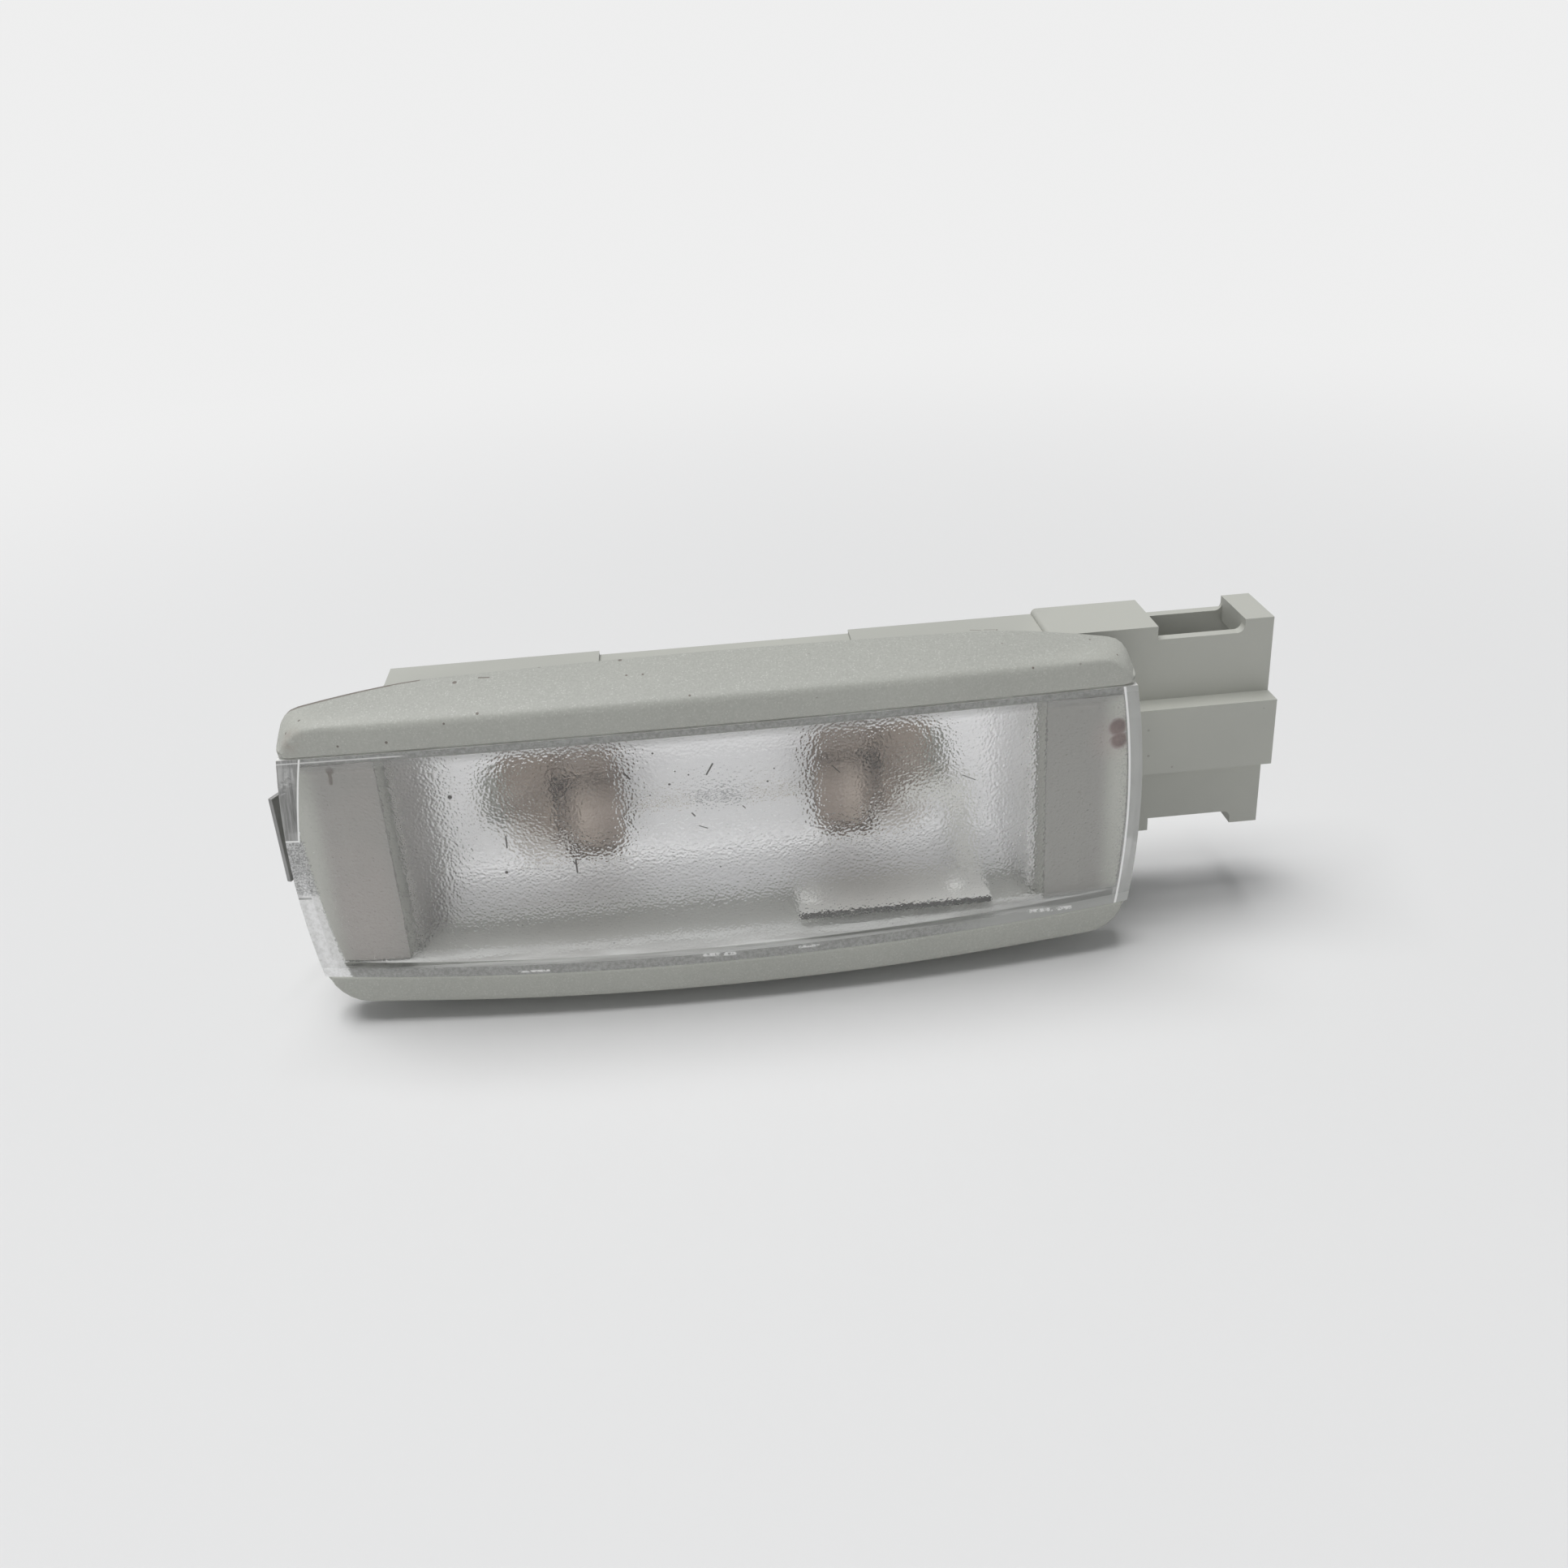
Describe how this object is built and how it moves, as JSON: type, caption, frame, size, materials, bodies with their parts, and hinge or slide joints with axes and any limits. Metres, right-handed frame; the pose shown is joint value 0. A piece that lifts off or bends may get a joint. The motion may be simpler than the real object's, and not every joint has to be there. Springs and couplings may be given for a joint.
{
  "type": "car interior light",
  "caption": "Snap-in car interior light with grey trim rails, clear lens, silvered reflector, tubular bulb, side plug socket and a steel spring clip.",
  "frame": {"origin": "centre of the plane where the backs of the two trim rails rest on the panel", "axes": "+X along the lamp towards its plug socket, +Y from the lens into the panel, +Z across the lamp, towards the side on which the plug socket stands higher"},
  "size_m": [0.1071, 0.0211, 0.0374],
  "materials": {
    "housing_plastic": "grey moulding, fine-grained on the rails and smooth elsewhere",
    "lens_plastic": "clear, with a fine pebbled inner face",
    "silvered_plastic": "vacuum-silvered, with grey unsilvered edges",
    "bulb_glass": "clear",
    "bulb_cap": "nickel plated",
    "solder": "dull tin",
    "tungsten": "dark grey wire",
    "lead_wire": "plain wire",
    "bronze": "brownish phosphor bronze",
    "rivet": "bright",
    "tinned_strip": "tinned",
    "jumper_metal": "bright stamped sheet",
    "spring_steel": "dark hardened steel"
  },
  "bodies": {
    "lamp": {"housing": "housing_plastic", "lens": "lens_plastic", "reflector": "silvered_plastic", "bulb_glass": "bulb_glass", "bulb_cap_left": "bulb_cap", "bulb_cap_right": "bulb_cap", "solder_left": "solder", "solder_right": "solder", "filament": "tungsten", "lead_left": "lead_wire", "lead_right": "lead_wire", "contact_left": "bronze", "contact_right": "bronze", "contact_rivet_left": "rivet", "contact_rivet_right": "rivet", "earth_strip": "tinned_strip", "live_strip": "tinned_strip", "jumper_strip": "jumper_metal", "jumper_rivet_left": "rivet", "jumper_rivet_right": "rivet"},
    "clip": {"spring_clip": "spring_steel"}
  },
  "joints": [
    {"name": "clip_flex", "type": "hinge", "parent": "lamp", "child": "clip", "pos_m": [-0.0406, 0.0126, 0], "axis": [0, 0, 1], "range_deg": [0, 24], "stiffness_Nm_per_rad": 0.4}
  ]
}
